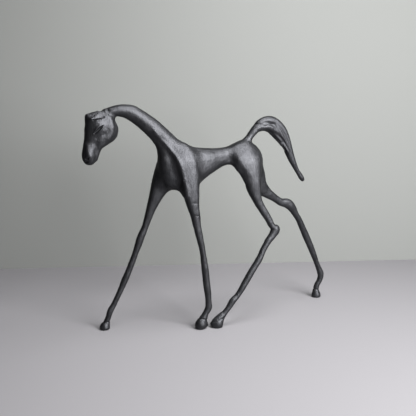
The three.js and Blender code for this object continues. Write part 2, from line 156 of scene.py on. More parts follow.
# Legs, from inside the trunk down to the sole: x, z, half depth, half width.
# side is where the leg is, hip is how far out its top is, and foot is how far out its hoof is.
LEGS = {
    "right_fore": {
        "side": RIGHT, "hip": 13, "foot": 32,
        "sections": [
            (-46, 316, 9, 3),
            (-52, 296, 22, 11),
            (-61.5, 275, 21.5, 12),
            (-71.2, 255, 16.4, 11.5),
            (-79.2, 237, 11.6, 10),
            (-88, 214, 7.9, 7.8),
            (-95, 193, 6.2, 6.3),
            (-99, 181, 5.7, 5.9),
            (-105, 168, 6.6, 6.4),
            (-109, 157, 6.7, 6.4),
            (-114, 143, 5.7, 5.8),
            (-121.5, 123, 5.4, 5.5),
            (-131, 100, 5.8, 5.7),
            (-137, 87, 5.9, 5.7),
            (-147, 65, 4.9, 5),
            (-158, 44, 4.8, 4.9),
            (-164.5, 33, 5.4, 5.3),
            (-168.7, 21, 4.9, 4.9),
            (-172.2, 12, 6.4, 6.2),
            (-175, 5, 9, 8.8),
            (-175.8, 0, 8.4, 8.2),
            (-176, -4, 6, 6),
        ],
    },
    "left_fore": {
        "side": LEFT, "hip": 15, "foot": 32,
        "sections": [
            (-42, 330, 8, 3),
            (-37, 306, 20.5, 11),
            (-32, 282, 17.5, 12),
            (-29.2, 258, 14.9, 11.5),
            (-27.4, 238, 12.7, 10.6),
            (-25.3, 222, 10, 9.4),
            (-22, 207, 8.4, 8.2),
            (-19.5, 190, 6.9, 7),
            (-15.7, 171, 6.1, 6.2),
            (-11.8, 153, 5.4, 5.6),
            (-9.5, 139, 5.2, 5.4),
            (-7, 121, 5.9, 5.8),
            (-4.8, 99, 6.4, 6.2),
            (-2.8, 80, 6.4, 6.2),
            (-0.8, 64, 6, 5.9),
            (0.2, 49, 5.4, 5.4),
            (0.4, 37.5, 6.4, 6),
            (-5.5, 27, 5.3, 5.4),
            (-10.8, 17.5, 7.6, 7),
            (-14.2, 9, 10.6, 9.8),
            (-15.3, 2.5, 9.8, 9),
            (-15.5, -3, 7, 6.8),
        ],
    },
    "left_hind": {
        "side": LEFT, "hip": 13, "foot": 37.5,
        "sections": [
            (80, 324, 14, 3),
            (81.8, 300, 27.8, 11.5),
            (86.8, 279, 23, 12),
            (91.1, 258, 16.1, 11),
            (94.6, 241, 11, 9.6),
            (100, 225, 7.9, 8),
            (106.5, 213, 6.9, 7),
            (114, 201, 6.6, 6.7),
            (121.4, 189.4, 6.1, 6.5),
            (126.6, 179.2, 5.8, 6.6),
            (130.2, 174.4, 5.8, 6.8),
            (134.8, 169.2, 9.2, 7),
            (128.4, 159, 7.4, 6.6),
            (118.9, 148.5, 6.2, 6),
            (109.2, 134, 5.6, 5.7),
            (100, 117, 6, 6),
            (84.8, 96, 6.2, 6.1),
            (70.5, 75, 6, 5.9),
            (56.5, 55, 5, 5.2),
            (46.4, 45.6, 6.2, 5.8),
            (39, 35.5, 5.3, 5.3),
            (30, 25, 5.1, 5.2),
            (21.8, 16.5, 7.4, 6.9),
            (16.6, 8.5, 10.3, 9.4),
            (15.2, 2.5, 9.5, 8.8),
            (14.9, -3, 6.8, 6.6),
        ],
    },
    "right_hind": {
        "side": RIGHT, "hip": 12, "foot": 32,
        "sections": [
            (92, 314, 12, 3),
            (102, 291, 22, 11.5),
            (113.5, 266, 21, 12),
            (126, 245, 16, 10.5),
            (143, 230.5, 10.2, 8.6),
            (160.5, 219, 7.2, 7.3),
            (176, 209.2, 7.3, 7),
            (191.6, 204.8, 9.4, 7.2),
            (202.4, 195.4, 8.2, 7.2),
            (210.9, 183, 6.3, 6.5),
            (220, 170, 5.9, 6.1),
            (231.4, 149, 6.4, 6.2),
            (243.9, 125.5, 6.8, 6.4),
            (257.3, 99, 6.1, 6),
            (270, 71, 5.1, 5.3),
            (279.6, 50, 6.4, 6.1),
            (278.4, 37, 5.6, 5.6),
            (272, 25, 5.4, 5.4),
            (270, 14.5, 6.5, 6.4),
            (270.8, 5.5, 9.4, 9),
            (271.2, 0, 8.6, 8.4),
            (271.3, -4, 6.2, 6.2),
        ],
    },
}

# The trunk is flat at its sides, with a round edge along the back. It grows round again in the rump and
# in the neck: shares of the way from the rump to the poll, and how square the trunk is there.
TRUNK_SQUARENESS = ((0.0, 0.12, 0.5, 0.62), (0.0, 0.4, 0.4, 0.0))

# The tops of the legs are squared off where they grow into the trunk, down to this share of their length
LEG_SQUARENESS = 0.7
LEG_SQUARE_TO = 0.45

# The grooves that part the locks of the tail: where one starts and ends along it, how far round it is
# there (degrees from the inside of the curve), and its share of the full depth
LOCKS = [
    (0.38, 0.68, 246, 270, 0.9),
    (0.25, 0.56, 244, 294, 1.0),
    (0.42, 0.72, 316, 284, 1.2),
    (0.30, 0.62, 328, 340, 0.7),
    (0.28, 0.76, 186, 214, 0.7),
    (0.30, 0.64, 138, 98, 1.0),
    (0.40, 0.76, 40, 78, 1.1),
    (0.27, 0.50, 100, 62, 0.8),
]
LOCK_WIDTH = 15.0             # half width of a groove, in degrees

# Places on the side of the head are shares of its length from the poll, and of its half depth there
# from the jaw (-1) to the brow (1). tilt leans a line forward from the vertical, in radians.
EYE = {"middle": (0.335, 0.28), "tilt": 0.88}
EYE_LENGTH = 21.0
LID_BOWS = (EYE_LENGTH * -0.18, EYE_LENGTH * 0.14)
LID_SUNK = 0.125              # of a lid's thickness, below the skin around it
SLIT_LENGTH = EYE_LENGTH * 0.9
SLIT_HEIGHT = EYE_LENGTH * 0.17
SLIT_DEEPNESS = 1.5           # of a lid's thickness
NOSTRIL = {"middle": (0.81, 0.52), "tilt": 1.05, "bow": 0.8}
NOSTRIL_LENGTH = 7.0
NOSTRIL_HEIGHT = NOSTRIL_LENGTH * 0.45
NOSTRIL_DEEPNESS = NOSTRIL_LENGTH * 0.8
# The slit between the lips starts at the front and runs back, slowly at first where bend is over 1
LIPS = {"level": 0.9, "rise": 0.035, "front": 0.96, "back": 0.35, "bend": 1.5}
LIP_PARTING = 3.4
LIP_DEEPNESS = LIP_PARTING * 1.6
LIP_ENDS = 0.2                # share of the parting that is left at its two ends

# Ears: share of the length from the root, half depth, half thickness
EAR = [
    (0, 5.2, 2),
    (0.2, 6.4, 2.1),
    (0.42, 5.2, 2),
    (0.66, 3.4, 1.8),
    (0.87, 1.8, 1.3),
    (1, 0.8, 0.8),
]
EAR_LENGTH = 24.0
EAR_BEHIND_POLL = (4.5, 12.0, -3.7)
EAR_WAY = (-20.0, 3.0, -7.2)
EAR_LEAN = 0.28               # radians that the upper edge leans in over the head

# Boxes in which the sculptor's thumb has melted the legs into the body, the trunk and then the hips: the
# lowest and the highest corner, and how far inside them the melting fades in
TRUNK_BOX = ((-100, -60, 232), (130, 60, 362))
TRUNK_FADE = 26.0
HIP_BOX = ((58, -60, 258), (134, 60, 352))
HIP_FADE = 16.0

# Muscles, hollows and grooves modelled into the skin, seen from the side: the points (x, z) of a stroke,
# its half width, how far it stands out (under zero, sinks in), and the side of the horse, or both
STROKES = [
    ([(-90, 354), (-80, 341), (-68, 328), (-57, 313), (-50, 297), (-46, 280), (-42, 262), (-39, 244)],
     4.0, 2.1, LEFT),
    ([(-80, 338), (-66, 312), (-57, 290), (-51, 268)], 8.0, -2.0, LEFT),
    ([(-22, 312), (-17, 299), (-14, 287)], 5.0, -0.8, LEFT),
    ([(51, 301), (59, 289), (68, 273), (76, 257)], 7.0, -2.8, LEFT),
    ([(104, 362.5), (122, 358.6), (141, 362)], 2.2, -1.3, LEFT),
    ([(112, 347), (137, 338.5), (160, 326.5), (170, 306)], 3.2, -1.7, LEFT),
    ([(162, 317.5), (168, 311)], 1.7, -1.7, BOTH),
    ([(-21, 20.5), (-10.5, 18.5), (-1, 14)], 1.5, -0.9, LEFT),
    ([(6, 12), (16.5, 16), (28, 18)], 1.5, -0.9, LEFT),
    ([(-182, 14), (-164, 14.5)], 1.4, -0.7, RIGHT),
    ([(260, 18.5), (282, 16)], 1.4, -0.7, RIGHT),
    ([(-31, 231), (-15, 228.5)], 1.4, -0.25, LEFT),
    ([(84, 316), (87, 297), (91, 275), (98, 250)], 9.0, 0.8, LEFT),
    ([(-90, 354), (-78, 341), (-66, 326), (-62, 308), (-66, 286), (-74, 262)], 7.0, 1.4, RIGHT),
    ([(-37, 340), (-38, 318), (-42, 296), (-50, 272)], 7.0, -1.4, RIGHT),
    ([(56, 306), (66, 296), (78, 280), (92, 262)], 8.0, -1.8, RIGHT),
    ([(98, 316), (106, 294), (118, 268), (130, 246)], 7.0, 1.0, RIGHT),
    ([(-200.5, 382.5)], 4.0, 2.0, BOTH),
    ([(-203, 334), (-203, 327), (-200.5, 317)], 4.5, 1.8, BOTH),
    ([(-189, 337), (-188.5, 328), (-188.5, 304)], 5.5, -2.4, BOTH),
    ([(-188, 345.5), (-182, 349.5), (-175, 352)], 3.0, -1.1, BOTH),
    ([(-167, 382), (-163, 375), (-161.5, 365), (-163, 354), (-168, 345)], 4.5, 1.7, BOTH),
    ([(-177, 378), (-174, 368), (-173, 358)], 6.5, -0.9, BOTH),
    ([(-192, 374.4), (-187.5, 374.6), (-181, 376)], 1.6, -0.8, BOTH),
    ([(-174.5, 389), (-173.5, 381)], 2.5, 0.7, BOTH),
    ([(-167, 391), (-165.5, 382)], 2.0, -0.9, BOTH),
]
SIDE_BLEND = 5.0              # half width of the belt along the back where a side's strokes fade out

# The seam that runs round the left foreleg where it was joined in the wax: its middle, the way that
# the leg runs there, its reach, half width and depth
SEAM = {
    "middle": (-23.0, -26.0, 209.0),
    "way": (-0.17, 0.1, -0.98),
    "reach": 14.0,
    "width": 0.9,
    "depth": 0.4,
}

ACROSS = np.array([0.0, 1.0, 0.0])
DOWN = np.array([0.0, 0.0, -1.0])
TANGENT_STEP = 0.0005         # of a run, between the points that give its direction
BAND = 20.0                   # distances are kept this many grid steps to each side of a surface
MELT_REACH = 2.5              # of the melting's radius, past which nothing is blended in
FIRST_FILLET = 1.0            # the first form of a grid meets nothing, so its fillet stays unseen


class Rings(NamedTuple):
    """Oval sections along a run, each with its middle, its two directions and its two half axes."""

    centre: np.ndarray
    deep: np.ndarray
    across: np.ndarray
    depth: np.ndarray
    width: np.ndarray


class Form(NamedTuple):
    """A closed skin as points, quads and the triangles that close its ends."""

    points: np.ndarray
    quads: np.ndarray
    triangles: np.ndarray


def unit(vectors):
    """The vectors at a length of one."""
    return vectors / np.linalg.norm(vectors, axis=-1, keepdims=True)


def smooth(points, places):
    """The points at places from 0 to 1 on a Catmull-Rom curve through points."""
    points = np.asarray(points, float)
    held = np.vstack([2 * points[0] - points[1], points, 2 * points[-1] - points[-2]])
    run = np.clip(places, 0, 1) * (len(points) - 1)
    first = np.minimum(run.astype(int), len(points) - 2)
    w = (run - first)[:, None]
    before, here, there, beyond = (held[first + k] for k in range(4))
    leave = (there - before) / 2
    reach = (beyond - here) / 2
    square = 3 * (there - here) - 2 * leave - reach
    cube = 2 * (here - there) + leave + reach
    return here + leave * w + square * w**2 + cube * w**3


def course(sections, places, level=False):
    """Rings square to the run through sections (x, y, z, half depth, half width), or level ones."""
    sections = np.asarray(sections, float)
    middles = sections[:, :3]
    size = smooth(sections[:, 3:5], places)
    if level:
        along = np.tile(DOWN, (len(places), 1))
    else:
        along = unit(smooth(middles, places + TANGENT_STEP) - smooth(middles, places - TANGENT_STEP))
    across = unit(ACROSS - along * along[:, 1:2])
    return Rings(smooth(middles, places), np.cross(across, along), across, size[:, 0], size[:, 1])


def between(rows, places):
    """Rings that stand between an upper and a lower outline: top x and z, low x and z, half width."""
    rows = np.asarray(rows, float)
    top = smooth(np.insert(rows[:, 0:2], 1, 0, axis=1), places)
    low = smooth(np.insert(rows[:, 2:4], 1, 0, axis=1), places)
    across = np.tile(ACROSS, (len(places), 1))
    depth = np.linalg.norm(top - low, axis=1) / 2
    width = smooth(rows[:, 4:5], places)[:, 0]
    return Rings((top + low) / 2, unit(top - low), across, depth, width)


def loft(rings, sides, carve=None, squareness=0.0):
    """A closed form over rings. carve gives how far the radius is cut back by place and angle, and
    squareness from 0 upwards draws each ring out at its corners."""
    count = len(rings.centre)
    angle = np.linspace(0, 2 * np.pi, sides, endpoint=False)
    cut = 0.0 if carve is None else carve(np.linspace(0, 1, count)[:, None], angle[None, :])
    bend = 1 / (1 + np.broadcast_to(squareness, (count,))[:, None])
    deep = (rings.depth[:, None] - cut) * np.sign(np.cos(angle)) * np.abs(np.cos(angle)) ** bend
    wide = (rings.width[:, None] - cut) * np.sign(np.sin(angle)) * np.abs(np.sin(angle)) ** bend
    points = rings.centre[:, None] + rings.deep[:, None] * deep[..., None]
    points += rings.across[:, None] * wide[..., None]
    index = np.arange(count * sides).reshape(count, sides)
    beside = np.roll(index, -1, axis=1)
    quads = np.stack([index[:-1], beside[:-1], beside[1:], index[1:]], axis=-1).reshape(-1, 4)
    first, last = count * sides, count * sides + 1
    start = np.stack([np.full(sides, first), beside[0], index[0]], axis=-1)
    end = np.stack([np.full(sides, last), index[-1], beside[-1]], axis=-1)
    points = np.vstack([points.reshape(-1, 3), rings.centre[:1], rings.centre[-1:]])
    return Form(points, quads, np.vstack([start, end]))


def spine(rings=240, sides=96):
    """Trunk and neck in one sweep, deep at the chest and drawn in at the loins."""
    places = np.linspace(0, 1, rings)
    return loft(between(SPINE, places), sides, squareness=np.interp(places, *TRUNK_SQUARENESS))


def head_rings(places):
    """Level rings of the head at places from 0 at the poll to 1 at the lips."""
    sections = [(x, 0, z, depth, width) for x, z, depth, width in HEAD]
    return course(sections, places, level=True)


def head(rings=200, sides=96):
    """A head with a wide cheek and a narrow muzzle, hung straight down from the poll."""
    return loft(head_rings(np.linspace(0, 1, rings)), sides)


def tail(lock_depth, rings=260, sides=96):
    """A thin stem that swells to a plume of locks. The grooves between them wind round it."""
    def groove(place, angle):
        cut = 0.0
        for start, end, first, last, share in LOCKS:
            run = np.clip((place - start) / (end - start), 0, 1)
            round_it = (np.degrees(angle) - first - (last - first) * run + 180) % 360 - 180
            cut = cut + share * np.sin(np.pi * run) * np.exp(-((round_it / LOCK_WIDTH) ** 2))
        return lock_depth * cut

    sections = [(x, 0, z, depth, width) for x, z, depth, width in TAIL]
    return loft(course(sections, np.linspace(0, 1, rings)), sides, groove)


def leg(shape, rings=260, sides=64):
    """A leg leaves the trunk at its hip and spreads to its hoof, quickly at first, then hardly at all."""
    top = shape["sections"][0][1]
    sections = []
    for x, z, depth, width in shape["sections"]:
        out = shape["foot"] - (shape["foot"] - shape["hip"]) * max(z / top, 0) ** 2
        sections.append((x, shape["side"] * out, z, depth, width))
    places = np.linspace(0, 1, rings)
    squareness = LEG_SQUARENESS * np.clip(1 - places / LEG_SQUARE_TO, 0, 1)
    return loft(course(sections, places), sides, squareness=squareness)


def ear(side, rings=60, sides=32):
    """A leaf laid forward along the top of the head, from a root just behind the poll."""
    mirror = np.array([1, side, 1])
    x, z = HEAD[0][:2]
    root = np.array([x, 0, z]) + np.array(EAR_BEHIND_POLL) * mirror
    way = unit(np.array(EAR_WAY)) * mirror
    sections = [(*(root + way * share * EAR_LENGTH), depth, thick) for share, depth, thick in EAR]
    upright = course(sections, np.linspace(0, 1, rings))
    swing, keep = -side * math.sin(EAR_LEAN), math.cos(EAR_LEAN)
    deep = upright.deep * keep + upright.across * swing
    across = upright.across * keep - upright.deep * swing
    return loft(upright._replace(deep=deep, across=across), sides)


def on_head(length, depth, side, lift=0.0):
    """Points on the side of the head at shares of its length and of its depth."""
    rings = head_rings(np.asarray(length, float))
    depth = np.asarray(depth, float)
    out = side * (rings.width * np.sqrt(1 - depth**2) + lift)
    return rings.centre + rings.deep * (depth * rings.depth)[:, None] + rings.across * out[:, None]


def line_on_head(middle, tilt, length, side, bow=0.0, lift=0.0, points=15):
    """A row of points on the side of the head about a middle, bowed to one side."""
    share = np.linspace(0, 1, points)
    run = (share - 0.5) * length
    rise = bow * np.sin(np.pi * share)
    lower = run * math.cos(tilt) + rise * math.sin(tilt)
    front = run * math.sin(tilt) - rise * math.cos(tilt)
    head_length = math.dist(HEAD[0][:2], HEAD[-1][:2])
    half_depth = head_rings(np.array([middle[0]])).depth[0]
    return on_head(middle[0] + lower / head_length, middle[1] + front / half_depth, side, lift)


def strip(points, thickness, deepness, ends=0.35, rings_for_each=4, sides=20):
    """A thin form through points, tapering to both ends: a lid, or the tool that cuts a slit."""
    share = np.linspace(0, 1, len(points))
    swell = (ends + (1 - ends) * np.sin(np.pi * share)) / 2
    sections = np.column_stack([points, swell * thickness, swell * deepness])
    return loft(course(sections, np.linspace(0, 1, rings_for_each * len(points))), sides)


def lid(side, bow, thickness):
    """An eyelid, bowed to the upper or the lower side of the eye."""
    line = line_on_head(**EYE, length=EYE_LENGTH, side=side, bow=bow, lift=-thickness * LID_SUNK)
    return strip(line, thickness, thickness)


def eye_slit(side, deepness):
    """What is cut away between the lids."""
    return strip(line_on_head(**EYE, length=SLIT_LENGTH, side=side), SLIT_HEIGHT, deepness)


def nostril(side):
    """What is cut away for a nostril."""
    line = line_on_head(**NOSTRIL, length=NOSTRIL_LENGTH, side=side)
    return strip(line, NOSTRIL_HEIGHT, NOSTRIL_DEEPNESS)


def lips(side, points=15):
    """The slit between the lips, back from the front of the muzzle and a little upwards."""
    share = np.linspace(0, 1, points)
    forward = LIPS["front"] + (LIPS["back"] - LIPS["front"]) * share ** LIPS["bend"]
    line = on_head(LIPS["level"] - LIPS["rise"] * share, forward, side)
    return strip(line, LIP_PARTING, LIP_DEEPNESS, LIP_ENDS)


class Field:
    """Signed distances on a grid round the figure, in steps of the grid and under zero inside it."""

    def __init__(self, forms, step, margin):
        low = np.min([form.points.min(axis=0) for form in forms], axis=0) - margin
        high = np.max([form.points.max(axis=0) for form in forms], axis=0) + margin
        self.low = low
        self.step = step
        self.values = np.full(np.ceil((high - low) / step).astype(int) + 1, BAND, np.float32)

    def near(self, form):
        """The window of the grid round a form, and the distances to it there."""
        points = (form.points - self.low) / self.step
        first = np.maximum(np.floor(points.min(axis=0) - BAND), 0).astype(int)
        last = np.minimum(np.ceil(points.max(axis=0) + BAND).astype(int) + 1, self.values.shape)
        grid = openvdb.FloatGrid.createLevelSetFromPolygons(
            points.astype(np.float32),
            triangles=form.triangles.astype(np.uint32),
            quads=form.quads.astype(np.uint32),
            halfWidth=BAND,
        )
        distances = np.empty(last - first, np.float32)
        grid.copyToArray(distances, ijk=tuple(int(k) for k in first))
        return tuple(slice(a, b) for a, b in zip(first, last)), distances

    def join(self, form, fillet):
        """Adds a form. A fillet fills the crease between the two, and lies only where they cross."""
        window, new = self.near(form)
        old = self.values[window]
        reach = fillet / self.step
        overlap = np.clip(1 - np.abs(old - new) / reach, 0, 1)
        cosine = sum(a * b for a, b in zip(np.gradient(old), np.gradient(new)))
        crossing = np.clip(1 - cosine, 0, 1)
        self.values[window] = np.minimum(old, new) - crossing * overlap**2 * reach / 4

    def cut(self, form, rounding):
        """Takes a form away, and rounds the edge that it leaves."""
        window, new = self.near(form)
        self.values[window] = self.higher(self.values[window], -new, rounding / self.step)

    def cut_below_ground(self, rounding):
        """Cuts the soles flat."""
        height = self.low[2] + self.step * np.arange(self.values.shape[2])
        ground = np.broadcast_to(-height.astype(np.float32) / self.step, self.values.shape)
        self.values = self.higher(self.values, ground, rounding / self.step)

    def soften(self, low, high, radius, fade):
        """Melts the creases inside a box, less and less towards its sides."""
        places = [self.low[k] + self.step * np.arange(self.values.shape[k]) for k in range(3)]
        spans = [np.flatnonzero((places[k] > low[k]) & (places[k] < high[k])) for k in range(3)]
        window = tuple(slice(span[0], span[-1] + 1) for span in spans)
        melted = self.values[window]
        reach = int(np.ceil(MELT_REACH * radius / self.step))
        taps = np.arange(-reach, reach + 1) * self.step / radius
        weights = np.exp(-(taps**2) / 2)
        weights /= weights.sum()
        for axis in range(3):
            pad = [(reach, reach) if k == axis else (0, 0) for k in range(3)]
            padded = np.pad(melted, pad, mode="edge")
            size = melted.shape[axis]
            melted = sum(w * padded.take(np.arange(k, k + size), axis) for k, w in enumerate(weights))
        inside = 1.0
        for k, span in enumerate(spans):
            near = np.minimum(places[k][span] - low[k], high[k] - places[k][span]) / fade
            shape = [-1 if axis == k else 1 for axis in range(3)]
            inside = inside * np.clip(near, 0, 1).reshape(shape)
        share = (inside * inside * (3 - 2 * inside)).astype(np.float32)
        self.values[window] += share * (melted.astype(np.float32) - self.values[window])

    @staticmethod
    def higher(old, new, reach):
        """The higher of two distances, rounded off where they cross."""
        overlap = np.clip(1 - np.abs(old - new) / reach, 0, 1)
        return np.maximum(old, new) + overlap**2 * reach / 4

    def skin(self):
        """The surface as points and quads."""
        grid = openvdb.FloatGrid(BAND)
        grid.copyFromArray(np.ascontiguousarray(self.values))
        points, quads = grid.convertToQuads(isovalue=0.0)
        return points.astype(float) * self.step + self.low, quads


def cast(settings):
    """The whole horse run together in one skin: points in drawn millimetres, and quads."""
    mm = settings.figure_mm
    trunk = spine()
    skull = head()
    plume = tail(mm("lock_depth"))
    legs = [leg(shape) for shape in LEGS.values()]
    field = Field([trunk, skull, plume, *legs], mm("skin_step"), margin=mm("leg_fillet"))
    field.join(trunk, FIRST_FILLET)
    for form in legs:
        field.join(form, mm("leg_fillet"))
    field.soften(*TRUNK_BOX, mm("trunk_melt"), TRUNK_FADE)
    field.soften(*HIP_BOX, mm("hip_melt"), HIP_FADE)
    field.join(skull, mm("throat_fillet"))
    field.join(plume, mm("tail_fillet"))
    for side in (LEFT, RIGHT):
        field.join(ear(side), mm("small_fillet"))
        for bow in LID_BOWS:
            field.join(lid(side, bow, mm("lid_thickness")), mm("small_fillet"))
    for side in (LEFT, RIGHT):
        field.cut(eye_slit(side, mm("lid_thickness") * SLIT_DEEPNESS), mm("small_rounding"))
        field.cut(nostril(side), mm("small_rounding"))
        field.cut(lips(side), mm("small_rounding"))
    field.cut_below_ground(mm("small_rounding"))
    return field.skin()


def figure_middle():
    """The drawn point on the ground under the middle of the figure, which is the frame's origin."""
    skull = head()
    forms = [skull, *(leg(shape) for shape in LEGS.values())]
    above = np.vstack([form.points[form.points[:, 2] > 0] for form in forms])
    x, y, _ = (above.min(axis=0) + above.max(axis=0)) / 2
    return np.array([x, y, 0.0])


def distance_to_line(points, line):
    """How far each point is from a line of points."""
    line = np.asarray(line, float)
    nearest = np.linalg.norm(points - line[0], axis=1)
    for a, b in zip(line[:-1], line[1:]):
        along = np.clip(((points - a) @ (b - a)) / ((b - a) @ (b - a)), 0, 1)
        nearest = np.minimum(nearest, np.linalg.norm(points - a - along[:, None] * (b - a), axis=1))
    return nearest


def relief(points):
    """How far the muscles, hollows and the seam move each point along its normal."""
    height = np.zeros(len(points))
    for line, width, rise, side in STROKES:
        distance = distance_to_line(points[:, [0, 2]], line)
        out = np.abs(points[:, 1]) if side == BOTH else side * points[:, 1]
        on_side = np.clip(0.5 + out / (2 * SIDE_BLEND), 0, 1)
        height += rise * np.exp(-((distance / width) ** 2)) * on_side**2 * (3 - 2 * on_side)
    away = points - np.array(SEAM["middle"])
    along = away @ unit(np.array(SEAM["way"]))
    near = np.linalg.norm(away, axis=1) < SEAM["reach"]
    return height - SEAM["depth"] * np.exp(-((along / SEAM["width"]) ** 2)) * near


def mesh_of(name, points, quads):
    """A mesh of these faces, turned outwards."""
    corners = points[quads]
    volume = np.einsum("ij,ij->", corners[:, 0], np.cross(corners[:, 1], corners[:, 2]))
    volume += np.einsum("ij,ij->", corners[:, 0], np.cross(corners[:, 2], corners[:, 3]))
    if volume < 0:
        quads = quads[:, ::-1]
    mesh = bpy.data.meshes.new(name)
    mesh.vertices.add(len(points))
    mesh.vertices.foreach_set("co", points.astype(np.float32).ravel())
    mesh.loops.add(quads.size)
    mesh.loops.foreach_set("vertex_index", quads.astype(np.int32).ravel())
    mesh.polygons.add(len(quads))
    mesh.polygons.foreach_set("loop_start", np.arange(0, quads.size, 4, dtype=np.int32))
    mesh.update(calc_edges=True)
    return mesh


def vectors_of(collection, name):
    """A vector of each thing in a mesh's collection, such as the normals, as rows."""
    values = np.empty(len(collection) * 3, np.float32)
    collection.foreach_get(name, values)
    return values.reshape(-1, 3).astype(float)


def evaluated(piece):
    """The piece's mesh with its modifiers made real. They are removed."""
    graph = bpy.context.evaluated_depsgraph_get()
    mesh = bpy.data.meshes.new_from_object(piece.evaluated_get(graph))
    piece.modifiers.clear()
    old = piece.data
    piece.data = mesh
    bpy.data.meshes.remove(old)
    return mesh


class Value:
    """A number that varies over a surface. An expression on values adds its math nodes."""

    def __init__(self, nodes, socket):
        self.nodes = nodes
        self.socket = socket

    def math(self, operation, first, second):
        made = self.nodes.add("ShaderNodeMath", {"operation": operation}, {0: first, 1: second})
        return made(0)

    def __add__(self, other):
        return self.math("ADD", self, other)

    def __radd__(self, other):
        return self.math("ADD", other, self)

    def __sub__(self, other):
        return self.math("SUBTRACT", self, other)

    def __rsub__(self, other):
        return self.math("SUBTRACT", other, self)

    def __mul__(self, other):
        return self.math("MULTIPLY", self, other)

    def __rmul__(self, other):
        return self.math("MULTIPLY", other, self)

    def __truediv__(self, other):
        return self.math("DIVIDE", self, other)

    def __rtruediv__(self, other):
        return self.math("DIVIDE", other, self)


class Node:
    """A node just made. Calling it gives one of its outputs as a value."""

    def __init__(self, nodes, node):
        self.nodes = nodes
        self.node = node

    def __call__(self, output=0):
        return Value(self.nodes, self.node.outputs[output])


class Nodes:
    """Adds nodes to a shader's or a geometry's tree."""

    def __init__(self, tree):
        self.tree = tree

    def add(self, kind, settings=None, sockets=None):
        """A node of a kind with its settings, and the values or links of its sockets."""
        node = self.tree.nodes.new(kind)
        for name, value in (settings or {}).items():
            setattr(node, name, value)
        for name, value in (sockets or {}).items():
            if isinstance(value, Value):
                self.tree.links.new(value.socket, node.inputs[name])
            else:
                node.inputs[name].default_value = value
        return Node(self, node)

    def noise(self, vector, scale, detail=2.0, roughness=0.5):
        """Smooth noise from 0 to 1, with this many waves to the metre."""
        sockets = {"Vector": vector, "Scale": scale, "Detail": detail, "Roughness": roughness}
        return self.add("ShaderNodeTexNoise", {"noise_dimensions": "3D"}, sockets)("Fac")


def cast_skin_tree():
    """Geometry nodes that give a skin the slight swell and waver of a hand-finished casting."""
    tree = bpy.data.node_groups.new("Cast Skin", "GeometryNodeTree")
    tree.interface.new_socket("Geometry", in_out="INPUT", socket_type="NodeSocketGeometry")
    for name in ("Lump Size", "Lump Height", "Dent Size", "Dent Height", "Sole Height"):
        tree.interface.new_socket(name, in_out="INPUT", socket_type="NodeSocketFloat")
    tree.interface.new_socket("Finish", in_out="INPUT", socket_type="NodeSocketMaterial")
    tree.interface.new_socket("Geometry", in_out="OUTPUT", socket_type="NodeSocketGeometry")
    nodes = Nodes(tree)
    given = nodes.add("NodeGroupInput")
    place = nodes.add("GeometryNodeInputPosition")()
    normal = nodes.add("GeometryNodeInputNormal")()

    def waver(size, height):
        return (nodes.noise(place, 1.0 / given(size)) - 0.5) * 2.0 * given(height)

    upright = nodes.add("ShaderNodeSeparateXYZ", None, {0: place})("Z")
    sockets = {"Value": upright, "From Min": 0.0, "From Max": given("Sole Height")}
    off_the_sole = nodes.add("ShaderNodeMapRange", {"interpolation_type": "SMOOTHSTEP"}, sockets)()
    rise = (waver("Lump Size", "Lump Height") + waver("Dent Size", "Dent Height")) * off_the_sole
    move = nodes.add("ShaderNodeVectorMath", {"operation": "SCALE"}, {0: normal, "Scale": rise})()
    moved = nodes.add("GeometryNodeSetPosition", None, {"Geometry": given("Geometry"), "Offset": move})()
    soft = nodes.add("GeometryNodeSetShadeSmooth", None, {"Geometry": moved})()
    real = nodes.add("GeometryNodeRealizeInstances", None, {"Geometry": soft})()
    done = nodes.add("GeometryNodeSetMaterial", None, {"Geometry": real, "Material": given("Finish")})()
    nodes.add("NodeGroupOutput", None, {"Geometry": done})
    return tree


# A mix node has a set of sockets for each kind of data: these are the ones of a colour
MIX_FACTOR, MIX_A, MIX_B = 0, 6, 7
MIX_COLOUR = 2

# The clouds are where the finish is worn paler. The marks of the file run up and down.
CLOUDS_PER_METRE = 45.0
MARKS_TO_A_GRAIN = 0.8
MARK_SCALE = (1.0, 1.0, 0.2)
WEAR_CONTRAST = 1.2
CLOUD_DULLNESS = 0.16
GRAIN_DULLNESS = 0.10
GRAIN_HEIGHT = 0.6
MARK_HEIGHT = 0.8
SPECULAR_TINT = (0.65, 0.65, 0.65, 1.0)


